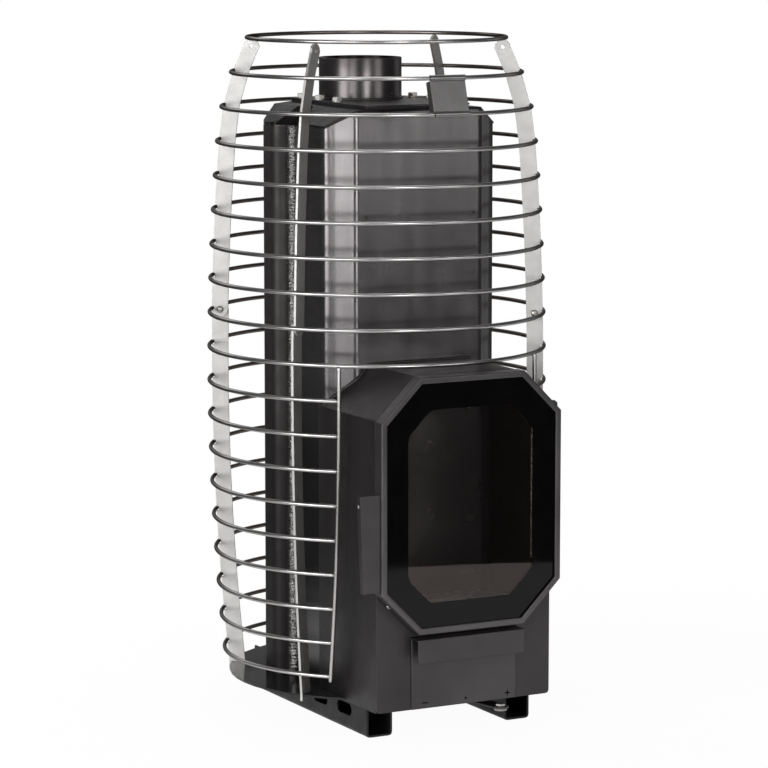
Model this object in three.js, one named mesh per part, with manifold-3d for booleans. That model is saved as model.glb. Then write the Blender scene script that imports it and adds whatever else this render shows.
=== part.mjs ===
// A wood-burning sauna stove inside a barrel-shaped wire cage for stones.
// Millimetres, +Z up. The door faces -Y and hangs on its +X side. The feet stand on z = 0.
import * as THREE from 'three';
import { mergeVertices } from 'three/addons/utils/BufferGeometryUtils.js';
import Module from 'manifold-3d';

const wasm = await Module();
wasm.setup();

// Gap between pieces that rest on or are welded to each other, and how far a cut runs past what it cuts
const seat = 0.3;
const overrun = 20;

// Feet and base plate
const railWidth = 41;
const railHeight = 44.7;
const railGauge = 3;
const railHalfGap = 92;
const railReach = 221;
const railBend = 6;
const slotCount = 5;
const slotPitch = 76;
const slotLength = 46;
const slotHeight = 18;
const slotZ = 30;
const baseThick = 3;

// Cage
const ringCount = 19;
const fullRings = 10;
const ringPitch = 50;
const lowestRingGap = 32;
const wire = 6;
const ringSegments = 36;
const bellyRadius = 246;
const bellyHeight = 412;
const bellyArc = 4300;
const shoulderDrop = 142;
const shoulderArc = 345;
const stripTurns = [-56, 56, -124, 124];
const stripWidth = 24;
const stripThick = 3.5;
const stripHook = 9;
const hookThick = 2.6;
const lapRing = 8;
const lapDrop = 1;
const lapHoleRadius = 3.3;
const endHoleRise = 1;
const cutoutHalf = 159;
const rodTail = 8;
const badgeRing = 1;
const badgeWidth = 56;
const badgeGauge = 2;
const badgeFlange = 12;
const badgeGap = 0.6;

// Stove body
const bodyGauge = 4;
const bodyFront = 130;
const bodyFlat = 101;
const bevelWidth = 36;
const bevelDepth = 30;
const bendRadius = 8;
const seamY = 4;
const seamLap = 10;
const rearWider = 25;
const rearBevelY = 47;
const rearFlat = 75;
const rearDepth = 128;
const rearBend = 18;
const roofGauge = 3;
const roofEdgeZ = 860;
const roofRise = 23;
const beadSize = 9;

// Flue
const flueY = 51;
const collarRadius = 60.75;
const collarWall = 2.5;
const collarHeight = 60;
const coverHalf = 84;
const coverSetback = 3;
const coverBack = 115;
const coverThick = 3;
const gasketThick = 2.4;
const gasketInset = 2;
const boltInset = 7;
const boltPitch = 56.5;
const boltMiddleY = 31.5;
const boltRadius = 4;
const boltStand = 1.6;
const boltWasher = 8;
const boltHead = 5.6;
const boltAcross = 13;

// Neck, front plate and firebox
const neckGauge = 3;
const neckRingGap = 9.7;
const neckLap = 12;
const neckCorner = 60;
const frontPlateY = 265;
const frontPlateCorner = 6;
const mouthInset = 32;
const throatInset = 12;
const floorZ = 170;
const floorThick = 4;
const grateHalf = 62;
const grateFront = 160;
const grateBack = 20;
const grateLip = 6;
const grateThick = 8;
const grateSlots = 7;
const grateSlotWidth = 8;
const baffleZ = 745;
const baffleThick = 4;
const baffleBack = 0;
const baffleFlange = 34;
const restWidth = 16;
const restHeight = 4;
const screwRadius = 2.5;
const screwX = 87;
const screwDrop = 15;

// Door
const doorFront = 288;
const doorOverlap = 3.7;
const doorBottom = 157;
const frameWall = 3;
const frameLip = 8.5;
const plateGap = 2.5;
const glassThick = 4;
const glassGasketThick = 2;
const glassGasketWidth = 14;
const retainerThick = 3;
const retainerInset = 30;
const ropeInset = 17;
const ropeWidth = 10;
const hingeSide = 8.2;
const hingeBack = 8;
const pinRadius = 4;
const knuckleRadius = 6.5;
const knuckleLength = 22;
const hingeFromEnd = 75;
const bracketThick = 5;
const bracketHalf = 6;
const handleGauge = 2.5;
const handleWidth = 30;
const handleTaper = 5.8;
const handleLow = 222.4;
const handleHigh = 360.4;
const handleTab = 16;
const handleReturn = 10;
const handleSetback = 3;

// Ash drawer
const drawerHalf = 85;
const drawerGap = 8;
const drawerClear = 0.8;
const drawerGauge = 2;
const drawerProud = 1;
const lipHeight = 34;
const lipOver = 1;
const lipCorner = 6;
const trayHalf = 80;
const trayBack = 50;
const trayHeight = 54;

// Air lever under the base plate
const leverPivotY = 20;
const leverReach = 283;
const leverRest = 13.5;
const leverWidth = 24;
const leverThick = 2.5;
const leverCrank = 150;
const leverDrop = 15;
const pivotRadius = 5;
const pivotHead = 9;
const pivotHeadThick = 3.5;
const fanRadius = 92;
const fanTurn = 14.5;
const knobRadius = 3;
const knobHead = 9.6;
const knobHeadThick = 3.4;
const airSlots = 3;
const airSlotPitch = 10;
const airSlotWidth = 6;
const airSlotStart = 58;
const airSlotEnd = 88;

// Heights and places worked out from the sizes above
const baseZ = railHeight + seat;
const baseTop = baseZ + baseThick;
const lowestRingZ = baseTop + lowestRingGap;
const ringZ = (index) => lowestRingZ + (ringCount - 1 - index) * ringPitch;
const topRingZ = ringZ(0);
const bellyZ = lowestRingZ + bellyHeight;
const shoulderZ = topRingZ - shoulderDrop;
const wireRadius = wire / 2;
const bodySide = bodyFlat + bevelWidth;
const bevelY = bodyFront - bevelDepth;
const rearSide = bodySide + rearWider;
const roofZ = roofEdgeZ + roofRise;
const shellBottom = baseTop + seat;
const neckHalf = bodySide + seat + neckGauge;
const neckTop = ringZ(fullRings - 1) - neckRingGap;
const plateBackY = frontPlateY - neckGauge;
const coverBottom = roofZ + seat + gasketThick + seat;
const coverTop = coverBottom + coverThick;
const doorBack = frontPlateY + plateGap;
const hingeX = neckHalf + hingeSide;
const hingeY = -(frontPlateY - hingeBack);
const drawerTop = doorBottom - drawerGap;
const leverTop = baseZ - seat;
const leverZ = leverTop - leverThick;
const armZ = leverTop - leverDrop;
const trayZ = baseTop + seat;
const baseRadius = stripEdge(baseTop) - hookThick - seat;

// The widest ring's back and the door's front set the middle of the depth
const backReach = barrelRadius(ringZ(fullRings - 1)) + wireRadius;
const axisY = (doorFront - backReach) / 2;

const door = {
  half: neckHalf + doorOverlap,
  low: doorBottom,
  high: neckTop,
  corner: neckCorner,
};

// Radius of the barrel at height z: a long belly arc that runs into a tighter shoulder arc
function barrelRadius(z) {
  const belly = (height) => bellyRadius - bellyArc + Math.sqrt(bellyArc ** 2 - (height - bellyZ) ** 2);
  if (z <= shoulderZ) {
    return belly(z);
  }
  const lean = Math.asin((shoulderZ - bellyZ) / bellyArc);
  const centreRadius = belly(shoulderZ) - shoulderArc * Math.cos(lean);
  const centreZ = shoulderZ - shoulderArc * Math.sin(lean);
  return centreRadius + Math.sqrt(shoulderArc ** 2 - (z - centreZ) ** 2);
}

// Materials
function finish(color, roughness, metalness) {
  return () => new THREE.MeshStandardMaterial({ color, roughness, metalness });
}
const stainless = finish(0xb9b9b6, 0.35, 1);
const zinc = finish(0xc8c9c7, 0.4, 1);
const heatPaint = finish(0x2c2b2b, 0.6, 0.3);
const greyPaint = finish(0x444345, 0.55, 0.3);
const glossPaint = finish(0x1c1b1b, 0.25, 0.3);
const castIron = finish(0x303030, 0.8, 0.6);
const fibre = finish(0xa9a49b, 0.95, 0);
const darkGlass = finish(0x141414, 0.08, 0);

// Solids that are joined and cut
function solid(geometry) {
  const bare = geometry.index ? geometry.toNonIndexed() : geometry.clone();
  bare.deleteAttribute('normal');
  bare.deleteAttribute('uv');
  const merged = mergeVertices(bare, 1e-4);
  return new wasm.Manifold(new wasm.Mesh({
    numProp: 3,
    vertProperties: new Float32Array(merged.attributes.position.array),
    triVerts: new Uint32Array(merged.index.array),
  }));
}

function shape(manifold) {
  const data = manifold.getMesh();
  const geometry = new THREE.BufferGeometry();
  geometry.setAttribute('position', new THREE.BufferAttribute(data.vertProperties, 3));
  geometry.setIndex(new THREE.BufferAttribute(data.triVerts, 1));
  const flat = geometry.toNonIndexed();
  flat.computeVertexNormals();
  return flat;
}

function join(...geometries) {
  return shape(geometries.map(solid).reduce((sum, next) => sum.add(next)));
}

function cut(geometry, ...tools) {
  return shape(tools.map(solid).reduce((left, tool) => left.subtract(tool), solid(geometry)));
}

function common(first, second) {
  return shape(solid(first).intersect(solid(second)));
}

// Outlines
function outline(points) {
  return new THREE.Shape(points.map(([x, y]) => new THREE.Vector2(x, y)));
}

function mirrored(points) {
  return points.map(([x, y]) => [-x, y]).reverse();
}

// A path moved sideways by distance, to its left, with mitred corners
function offsetPath(points, distance) {
  const normals = points.slice(1).map(([x, y], i) => {
    const dx = x - points[i][0];
    const dy = y - points[i][1];
    const length = Math.hypot(dx, dy);
    return [-dy / length, dx / length];
  });
  return points.map(([x, y], i) => {
    const before = normals[Math.max(i - 1, 0)];
    const after = normals[Math.min(i, normals.length - 1)];
    const scale = distance / (1 + before[0] * after[0] + before[1] * after[1]);
    return [x + (before[0] + after[0]) * scale, y + (before[1] + after[1]) * scale];
  });
}

// A path with its inner corners rounded by arcs
function roundedPath(points, radius, steps = 3) {
  return points.flatMap((point, i) => {
    if (i === 0 || i === points.length - 1) {
      return [point];
    }
    const corner = new THREE.Vector2(...point);
    const toBefore = new THREE.Vector2(...points[i - 1]).sub(corner).normalize();
    const toAfter = new THREE.Vector2(...points[i + 1]).sub(corner).normalize();
    const halfAngle = Math.acos(THREE.MathUtils.clamp(toBefore.dot(toAfter), -1, 1)) / 2;
    const reach = radius / Math.tan(halfAngle);
    const curve = new THREE.QuadraticBezierCurve(
      corner.clone().addScaledVector(toBefore, reach),
      corner,
      corner.clone().addScaledVector(toAfter, reach),
    );
    return curve.getPoints(steps).map((p) => [p.x, p.y]);
  });
}

// A bent sheet seen along its bends: its outer face follows the path, its inner face lies to the left
function sheetOutline(points, gauge) {
  return outline([...points, ...offsetPath(points, gauge).reverse()]);
}

// An eight-sided outline in X and Z, drawn in from all its sides by inset
function octagonPoints({ half, low, high, corner }, inset = 0) {
  const h = half - inset;
  const lo = low + inset;
  const hi = high - inset;
  const c = corner - inset * (2 - Math.SQRT2);
  const right = [[h - c, lo], [h, lo + c], [h, hi - c], [h - c, hi]];
  return [...right, ...mirrored(right)];
}

// Flat octagonal ring between two insets
function octagonRing(size, outerInset, innerInset) {
  const ring = outline(octagonPoints(size, outerInset));
  ring.holes.push(outline(octagonPoints(size, innerInset)));
  return ring;
}

// A round or polygonal hole or rod end
function disc(x, y, radius, sides) {
  return outline(Array.from({ length: sides }, (_, i) => {
    const turn = (2 * Math.PI * i) / sides;
    return [x + radius * Math.cos(turn), y + radius * Math.sin(turn)];
  }));
}

// Extrusions along the three axes
function riseZ(profile, z0, z1) {
  return new THREE.ExtrudeGeometry(profile, { depth: z1 - z0, bevelEnabled: false }).translate(0, 0, z0);
}

function alongY(profile, y0, y1) {
  return new THREE.ExtrudeGeometry(profile, { depth: y1 - y0, bevelEnabled: false })
    .rotateX(Math.PI / 2)
    .translate(0, y1, 0);
}

function alongX(profile, x0, x1) {
  return new THREE.ExtrudeGeometry(profile, { depth: x1 - x0, bevelEnabled: false })
    .rotateX(Math.PI / 2)
    .rotateZ(Math.PI / 2)
    .translate(x0, 0, 0);
}

function box(x0, x1, y0, y1, z0, z1) {
  return new THREE.BoxGeometry(x1 - x0, y1 - y0, z1 - z0)
    .translate((x0 + x1) / 2, (y0 + y1) / 2, (z0 + z1) / 2);
}

function rod(x, y, radius, z0, z1, sides = 12) {
  return riseZ(disc(x, y, radius, sides), z0, z1);
}

// Cage
function wireRing(index) {
  return new THREE.TorusGeometry(barrelRadius(ringZ(index)), wireRadius, 6, ringSegments)
    .translate(0, 0, ringZ(index));
}

class RingArc extends THREE.Curve {
  constructor(radius, endAngle, z) {
    super();
    Object.assign(this, { radius, endAngle, z });
  }

  getPoint(t, target = new THREE.Vector3()) {
    const turn = this.endAngle + t * 2 * (Math.PI - this.endAngle);
    return target.set(this.radius * Math.sin(turn), -this.radius * Math.cos(turn), this.z);
  }
}

// A ring that stops at the rods of the front cut-out
function openRing(index) {
  const radius = barrelRadius(ringZ(index));
  const endAngle = Math.asin(cutoutHalf / radius) + (wireRadius + seat) / radius;
  const extrudePath = new RingArc(radius, endAngle, ringZ(index));
  const steps = ringSegments - 2;
  return new THREE.ExtrudeGeometry(disc(0, 0, wireRadius, 6), { steps, extrudePath, bevelEnabled: false });
}

class BarrelRod extends THREE.Curve {
  constructor(x, zTop, zBottom) {
    super();
    Object.assign(this, { x, zTop, zBottom });
  }

  getPoint(t, target = new THREE.Vector3()) {
    const z = this.zTop + t * (this.zBottom - this.zTop);
    return target.set(this.x, -Math.sqrt(barrelRadius(z) ** 2 - this.x ** 2), z);
  }
}

function cutoutRod(side) {
  const zTop = ringZ(fullRings - 1) - wireRadius - seat;
  const extrudePath = new BarrelRod(side * cutoutHalf, zTop, lowestRingZ - rodTail);
  return new THREE.ExtrudeGeometry(disc(0, 0, wireRadius, 6), { steps: 14, extrudePath, bevelEnabled: false });
}

// Outer edge of the strips: half of each ring is let into it
function stripEdge(z) {
  return barrelRadius(z) * Math.cos(Math.PI / ringSegments);
}

function stripHeights(zLow, zHigh) {
  const rings = Array.from({ length: ringCount }, (_, i) => ringZ(ringCount - 1 - i));
  return [zLow, ...rings.filter((z) => z > zLow + wire && z < zHigh - wire), zHigh];
}

// Rounded end of a strip about its middle, upwards from the outer edge or downwards from the inner edge
function stripEnd([r, z], start) {
  return [0, 1, 2, 3, 4, 5, 6].map((i) => {
    const turn = start + (Math.PI * i) / 6;
    return [r + (stripWidth / 2) * Math.cos(turn), z + (stripWidth / 2) * Math.sin(turn)];
  });
}

function ringNotch(index) {
  const depth = wireRadius + seat;
  const edge = stripEdge(ringZ(index));
  return box(edge - depth, edge + overrun, -overrun, overrun, ringZ(index) - depth, ringZ(index) + depth);
}

// A strip in its own upright plane, set beside that plane by offset, then turned to its place
function standStrip(points, holes, offset, angle) {
  const profile = outline(points);
  profile.holes.push(...holes.map(([r, z]) => disc(r, z, lapHoleRadius, 8)));
  const strip = alongY(profile, offset - stripThick / 2, offset + stripThick / 2);
  const notches = Array.from({ length: ringCount - 1 }, (_, i) => ringNotch(i + 1));
  return cut(strip, ...notches).rotateZ(THREE.MathUtils.degToRad(angle - 90));
}

// Upper and lower strips end in the same half circle, about the screw that joins them
const lapZ = ringZ(lapRing) - lapDrop;
const lapMiddle = [stripEdge(lapZ) - stripWidth / 2, lapZ];

// Middle of the rounded end that touches the top ring from inside and below
function crownMiddle() {
  const reach = stripWidth / 2 + seat + wireRadius;
  let drop = reach;
  for (let i = 0; i < 12; i += 1) {
    const inset = stripEdge(topRingZ) - stripEdge(topRingZ - drop) + stripWidth / 2;
    drop = Math.sqrt(reach ** 2 - inset ** 2);
  }
  return [stripEdge(topRingZ - drop) - stripWidth / 2, topRingZ - drop];
}

function upperStrip(angle) {
  const middle = crownMiddle();
  const heights = stripHeights(lapZ, middle[1]).slice(1, -1);
  const outer = heights.map((z) => [stripEdge(z), z]);
  const inner = heights.map((z) => [stripEdge(z) - stripWidth, z]).reverse();
  const endHole = [middle[0], middle[1] + endHoleRise];
  const points = [...stripEnd(lapMiddle, Math.PI), ...outer, ...stripEnd(middle, 0), ...inner];
  return standStrip(points, [lapMiddle, endHole], 0, angle);
}

// The foot of a lower strip stands on the base plate and hooks over its rim
function lowerStrip(angle) {
  const zFoot = baseTop + seat;
  const rim = baseRadius + seat;
  const heights = stripHeights(zFoot, lapZ).slice(0, -1);
  const outer = heights.map((z) => [stripEdge(z), z]);
  const inner = heights.map((z) => [stripEdge(z) - stripWidth, z]).reverse();
  const hook = [[rim, zFoot], [rim, baseTop - stripHook], [stripEdge(zFoot), baseTop - stripHook]];
  const offset = Math.sign(angle) * (stripThick + seat);
  return standStrip([...hook, ...outer, ...stripEnd(lapMiddle, 0), ...inner], [lapMiddle], offset, angle);
}

// Folded plate that leans with the barrel between two rings
function badgePlate() {
  const upper = [-barrelRadius(ringZ(badgeRing)), ringZ(badgeRing)];
  const lower = [-barrelRadius(ringZ(badgeRing + 1)), ringZ(badgeRing + 1)];
  const lean = Math.atan2(upper[0] - lower[0], upper[1] - lower[1]);
  const height = Math.hypot(upper[0] - lower[0], upper[1] - lower[1]) - wire - 2 * badgeGap;
  const half = badgeWidth / 2;
  const fold = [[-half, badgeFlange], [-half, 0], [half, 0], [half, badgeFlange]];
  return riseZ(sheetOutline(fold, badgeGauge), -height / 2, height / 2)
    .rotateX(-lean)
    .translate(0, (upper[0] + lower[0]) / 2, (upper[1] + lower[1]) / 2);
}

// Feet and base plate
function footRail(side) {
  const inner = side * railHalfGap;
  const outer = side * (railHalfGap + railWidth);
  const left = Math.min(inner, outer);
  const right = Math.max(inner, outer);
  const fold = roundedPath([[left, railHeight], [left, 0], [right, 0], [right, railHeight]], railBend);
  const channel = alongY(sheetOutline(fold, railGauge), -railReach, railReach);
  const half = slotHeight / 2;
  const straight = slotLength / 2 - half;
  const slots = Array.from({ length: slotCount }, (_, i) => {
    const y = (i - (slotCount - 1) / 2) * slotPitch;
    const profile = new THREE.Shape();
    profile.absarc(y + straight, slotZ, half, -Math.PI / 2, Math.PI / 2, false);
    profile.absarc(y - straight, slotZ, half, Math.PI / 2, -Math.PI / 2, false);
    const hole = outline(profile.getPoints(4).slice(0, -1).map((p) => [p.x, p.y]));
    return alongX(hole, outer - railGauge * 1.5, outer + railGauge * 1.5);
  });
  return cut(channel, ...slots);
}

// Slots in the base plate behind the ash tray, closed by the fan of the air lever
function airSlotBoxes(z0, z1) {
  return Array.from({ length: airSlots }, (_, i) => {
    const x = (i - (airSlots - 1) / 2) * airSlotPitch;
    return box(x - airSlotWidth / 2, x + airSlotWidth / 2,
      leverPivotY + airSlotStart, leverPivotY + airSlotEnd, z0, z1);
  });
}

// Round plate with a tongue that closes the bottom of the neck
function basePlate() {
  const round = rod(0, 0, baseRadius, baseZ, baseTop, 48);
  const half = neckHalf - neckGauge - seat;
  const tongue = box(-half, half, -(plateBackY - seat), 0, baseZ, baseTop);
  return cut(join(round, tongue), ...airSlotBoxes(baseZ - 1, baseTop + 1));
}

// Stove body
const frontPath = roundedPath([
  [-bodySide, seamY + seamLap], [-bodySide, -bevelY], [-bodyFlat, -bodyFront],
  [bodyFlat, -bodyFront], [bodySide, -bevelY], [bodySide, seamY + seamLap],
], bendRadius);

const rearPath = (() => {
  const right = [[rearSide, seamY], [rearSide, rearBevelY], [rearFlat, rearDepth]];
  return roundedPath([[bodySide + seat, seamY], ...right, ...mirrored(right), [-bodySide - seat, seamY]], rearBend);
})();

// Region above the underside of the roof, used to trim the walls that carry it
function aboveRoof(half, y0, y1) {
  const drop = roofGauge + seat;
  const edge = roofEdgeZ - drop - (overrun * roofRise) / bevelWidth;
  const right = [[half + overrun, edge], [half + overrun, roofZ + overrun]];
  const left = mirrored(right);
  return alongY(outline([...right, ...left, [bevelWidth - half, roofZ - drop], [half - bevelWidth, roofZ - drop]]),
    y0, y1);
}

function neckOutline(inset, bottom) {
  const size = { half: neckHalf, low: bottom, high: neckTop, corner: neckCorner };
  const top = octagonPoints(size, inset).slice(1, 7);
  return [[neckHalf - inset, bottom], ...top.slice(1, 5), [inset - neckHalf, bottom]];
}

function restBar(side) {
  const wall = side * (bodySide - bodyGauge / 2);
  const tip = side * (bodySide - bodyGauge - restWidth);
  return box(Math.min(wall, tip), Math.max(wall, tip), -bevelY, baffleBack, baffleZ - seat - restHeight, baffleZ - seat);
}

// Flat front with bevels and side walls, open at the bottom where the neck meets it
function frontShell() {
  const walls = riseZ(sheetOutline(frontPath, bodyGauge), shellBottom, roofZ);
  const throat = alongY(outline(neckOutline(throatInset, shellBottom - 1)), -bodyFront - 1, -bevelY + bodyGauge * 2);
  const screwHoles = [-1, 1].map((side) => alongY(
    disc(side * screwX, baffleZ - screwDrop, screwRadius + seat, 8), -bodyFront - 1, -bodyFront + bodyGauge + 1));
  const trimmed = cut(walls, aboveRoof(bodySide, -bodyFront - overrun, seamY + seamLap + overrun), throat, ...screwHoles);
  return join(trimmed, restBar(-1), restBar(1));
}

// Weld that fills the corner between the two shells
function cornerWeld(side) {
  const x = side * (bodySide + seat);
  const points = [[0, 1], [0, -beadSize], [beadSize * 0.5, -beadSize * 0.8], [beadSize * 0.85, -beadSize * 0.45],
    [beadSize, 1]];
  const fillet = points.map(([dx, dy]) => [x + side * dx, seamY + dy]);
  return riseZ(outline(side > 0 ? fillet : fillet.reverse()), shellBottom, roofEdgeZ - roofGauge - 2 * seat);
}

function rearShell() {
  const walls = riseZ(sheetOutline(rearPath, bodyGauge), shellBottom, roofZ);
  const top = box(-rearSide - 1, rearSide + 1, seamY - 1, seamY + bodyGauge + seat,
    roofEdgeZ - roofGauge - seat, roofZ + 1);
  const trimmed = cut(walls, aboveRoof(rearSide, seamY - overrun, rearDepth + overrun), top);
  return join(trimmed, cornerWeld(-1), cornerWeld(1));
}

// Cross-section of the roof sheet: flat in the middle, sloping to both walls
function roofSection(half) {
  const top = [[half, roofEdgeZ], [half - bevelWidth, roofZ]];
  const under = top.map(([x, z]) => [x, z - roofGauge]).reverse();
  return outline([...top, ...mirrored(top), ...mirrored(under), ...under]);
}

// Closes the step between the front and the wider rear half of the roof
function roofRiser(side) {
  const points = [[bodySide, roofEdgeZ - roofGauge], [rearSide, roofEdgeZ - roofGauge], [rearSide, roofEdgeZ],
    [rearSide - bevelWidth, roofZ], [bodySide - bevelWidth, roofZ], [bodySide - bevelWidth, roofZ - roofGauge]];
  const flipped = points.map(([x, z]) => [side * x, z]);
  return alongY(outline(side > 0 ? flipped : flipped.reverse()), seamY, seamY + roofGauge);
}

function boltPlaces() {
  return [-1, 1].flatMap((side) => [-1, 0, 1].map((row) => [
    side * (coverHalf - boltInset), boltMiddleY + row * boltPitch]));
}

function boltHoles(z0, z1) {
  return boltPlaces().map(([x, y]) => rod(x, y, boltRadius + seat, z0, z1, 8));
}

function topPlate() {
  const low = roofEdgeZ - roofGauge - 1;
  const front = common(alongY(roofSection(bodySide), -bodyFront, seamY + roofGauge),
    riseZ(outline(frontPath), low, roofZ + 1));
  const rear = common(alongY(roofSection(rearSide), seamY, rearDepth), riseZ(outline(rearPath), low, roofZ + 1));
  const flue = rod(0, flueY, collarRadius - collarWall, low, roofZ + 1, 32);
  return cut(join(front, rear, roofRiser(-1), roofRiser(1)), flue, ...boltHoles(low, roofZ + 1));
}

// Flue
function coverOutline(inset) {
  const half = coverHalf - inset;
  const front = -(bodyFront - coverSetback - inset);
  const back = coverBack - inset;
  return outline([[-half, front], [half, front], [half, back], [-half, back]]);
}

function fluePlate(inset, z0, z1) {
  const plate = riseZ(coverOutline(inset), z0, z1);
  const flue = rod(0, flueY, collarRadius - collarWall, z0 - 1, z1 + 1, 32);
  return cut(plate, flue, ...boltHoles(z0 - 1, z1 + 1));
}

// Hexagon bolt that stands a little out of the cover
function coverBolt([x, y]) {
  const stand = coverTop + boltStand;
  return join(
    rod(x, y, boltRadius, roofZ - roofGauge, stand + 1, 8),
    rod(x, y, boltWasher, coverTop + seat, stand, 10),
    rod(x, y, boltAcross / Math.sqrt(3), stand, stand + boltHead, 6),
  );
}

function flueCollar() {
  const ring = disc(0, flueY, collarRadius, 36);
  ring.holes.push(disc(0, flueY, collarRadius - collarWall, 36));
  return riseZ(ring, coverTop + seat, coverTop + seat + collarHeight);
}

// Hinge brackets welded to the right wall of the neck, with the pins the door hangs on
const hingeLevels = [doorBottom + hingeFromEnd, neckTop - hingeFromEnd];

function hingeBracket(z) {
  const back = hingeY + bracketHalf;
  return join(
    box(neckHalf - neckGauge / 2, hingeX, -(plateBackY - seat), back, z - bracketThick, z),
    box(neckHalf + seat, hingeX + bracketHalf, hingeY - bracketHalf, back, z - bracketThick, z),
    rod(hingeX, hingeY, pinRadius, z - 1, z + seat + knuckleLength + 2),
  );
}

// Neck, front plate and firebox
function fireNeck() {
  const bottom = baseZ;
  const outer = neckOutline(0, bottom);
  const inner = neckOutline(neckGauge, bottom);
  const tunnel = alongY(outline([...outer, ...inner.reverse()]), -(plateBackY - seat), -(bevelY - neckLap));
  const bodySolid = riseZ(outline(offsetPath(frontPath, -seat)), bottom - 1, neckTop + 1);
  const baseSolid = rod(0, 0, baseRadius + seat, baseZ - 1, baseTop + seat, 48);
  return join(cut(tunnel, bodySolid, baseSolid), ...hingeLevels.map(hingeBracket));
}

function frontPlate() {
  const bottom = baseZ;
  const upper = neckOutline(0, bottom).slice(1, 5);
  const corner = roundedPath([[neckHalf - overrun, bottom], [neckHalf, bottom], [neckHalf, bottom + overrun]], frontPlateCorner);
  const plate = outline([...corner, ...upper, ...mirrored(corner)]);
  plate.holes.push(outline(octagonPoints(door, mouthInset)));
  const drawerWay = box(-drawerHalf - drawerClear, drawerHalf + drawerClear,
    -frontPlateY - 1, -plateBackY + 1, bottom - 1, drawerTop + drawerClear);
  return cut(alongY(plate, -frontPlateY, -plateBackY), drawerWay);
}

function fireboxFloor() {
  const half = neckHalf - throatInset - seat;
  const top = floorZ + floorThick;
  const front = box(-half, half, -(plateBackY - seat), rearBevelY, floorZ, top);
  const room = riseZ(outline(offsetPath(rearPath, bodyGauge + seat)), floorZ, top);
  const rear = common(box(-half, half, seamY, rearDepth, floorZ - 1, top + 1), room);
  const grateWay = box(-grateHalf, grateHalf, -grateFront, -grateBack, floorZ - 1, top + 1);
  return cut(join(front, rear), grateWay);
}

// Cast grate that drops into the floor and hangs on its lip
function fireGrate() {
  const top = floorZ + floorThick + seat;
  const lip = box(-grateHalf - grateLip, grateHalf + grateLip, -grateFront - grateLip, -grateBack + grateLip,
    top, top + floorThick);
  const body = box(-grateHalf + seat, grateHalf - seat, -grateFront + seat, -grateBack - seat,
    top - grateThick, top + 1);
  const pitch = (2 * grateHalf - grateSlotWidth) / grateSlots;
  const slots = Array.from({ length: grateSlots }, (_, i) => {
    const x = (i - (grateSlots - 1) / 2) * pitch;
    return box(x - grateSlotWidth / 2, x + grateSlotWidth / 2, -grateFront + 12, -grateBack - 12,
      top - grateThick - 1, top + floorThick + 1);
  });
  return cut(join(lip, body), ...slots);
}

// Plate that turns the smoke back, hung on the front panel and the rests
function bafflePlate() {
  const inside = offsetPath(frontPath, bodyGauge + seat);
  const front = inside.filter(([, y]) => y < baffleBack);
  const right = bodySide - bodyGauge - seat;
  const plate = riseZ(outline([[-right, baffleBack], ...front.slice(1, -1), [right, baffleBack]]),
    baffleZ, baffleZ + baffleThick);
  const y = -(bodyFront - bodyGauge - seat);
  const flange = box(-bodyFlat + bendRadius, bodyFlat - bendRadius, y, y + baffleThick,
    baffleZ - baffleFlange, baffleZ + baffleThick / 2);
  const holes = [-1, 1].map((side) => alongY(
    disc(side * screwX, baffleZ - screwDrop, screwRadius + seat, 8), y - 1, y + baffleThick + 1));
  return cut(join(plate, flange), ...holes);
}

// Door, from the front: frame, glass, gasket, retainer and rope
const glassY = -(doorFront - frameWall - seat);
const gasketY = glassY + glassThick + seat;
const retainerY = gasketY + glassGasketThick + seat;
const ropeY = retainerY + retainerThick + seat;

function doorFrame() {
  const wall = alongY(octagonRing(door, 0, frameWall), -doorFront, -doorBack);
  const lip = alongY(octagonRing(door, 0, frameLip), -doorFront, -doorFront + frameWall);
  const knuckles = hingeLevels.map((z) => {
    const z0 = z + seat;
    const z1 = z0 + knuckleLength;
    const arm = box(door.half - frameWall, hingeX, -doorBack - frameWall, hingeY - pinRadius - 1, z0, z1);
    return cut(join(arm, rod(hingeX, hingeY, knuckleRadius, z0, z1)),
      rod(hingeX, hingeY, pinRadius + seat, z0 - 1, z1 + 1));
  });
  return join(wall, lip, ...knuckles);
}

function doorGlass() {
  return alongY(outline(octagonPoints(door, frameWall + seat)), glassY, glassY + glassThick);
}

function glassGasket() {
  const edge = frameWall + seat;
  return alongY(octagonRing(door, edge, edge + glassGasketWidth), gasketY, gasketY + glassGasketThick);
}

function glassRetainer() {
  return alongY(octagonRing(door, frameWall + seat, retainerInset), retainerY, retainerY + retainerThick);
}

function doorRope() {
  const round = ropeWidth / 4;
  const profile = octagonRing(door, ropeInset + round, ropeInset + ropeWidth - round);
  const depth = -frontPlateY - seat - ropeY - 2 * round;
  return new THREE.ExtrudeGeometry(profile, {
    depth, bevelThickness: round, bevelSize: round, bevelSegments: 1,
  }).rotateX(Math.PI / 2).translate(0, -frontPlateY - seat - round, 0);
}

// Folded plate on the free edge of the door, narrower towards its lower end
function doorHandle() {
  const root = -(door.half + seat);
  const face = -(doorFront - handleSetback);
  const tip = root - handleGauge - handleWidth;
  const fold = [[tip, face + handleReturn], [tip, face], [root, face], [root, face + handleTab]];
  const handle = riseZ(sheetOutline(fold, handleGauge), handleLow, handleHigh);
  const place = handle.getAttribute('position');
  for (let i = 0; i < place.count; i += 1) {
    const below = (handleHigh - place.getZ(i)) / (handleHigh - handleLow);
    const share = 1 - (handleTaper / handleWidth) * below;
    place.setX(i, root + (place.getX(i) - root) * share);
  }
  return handle;
}

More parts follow.
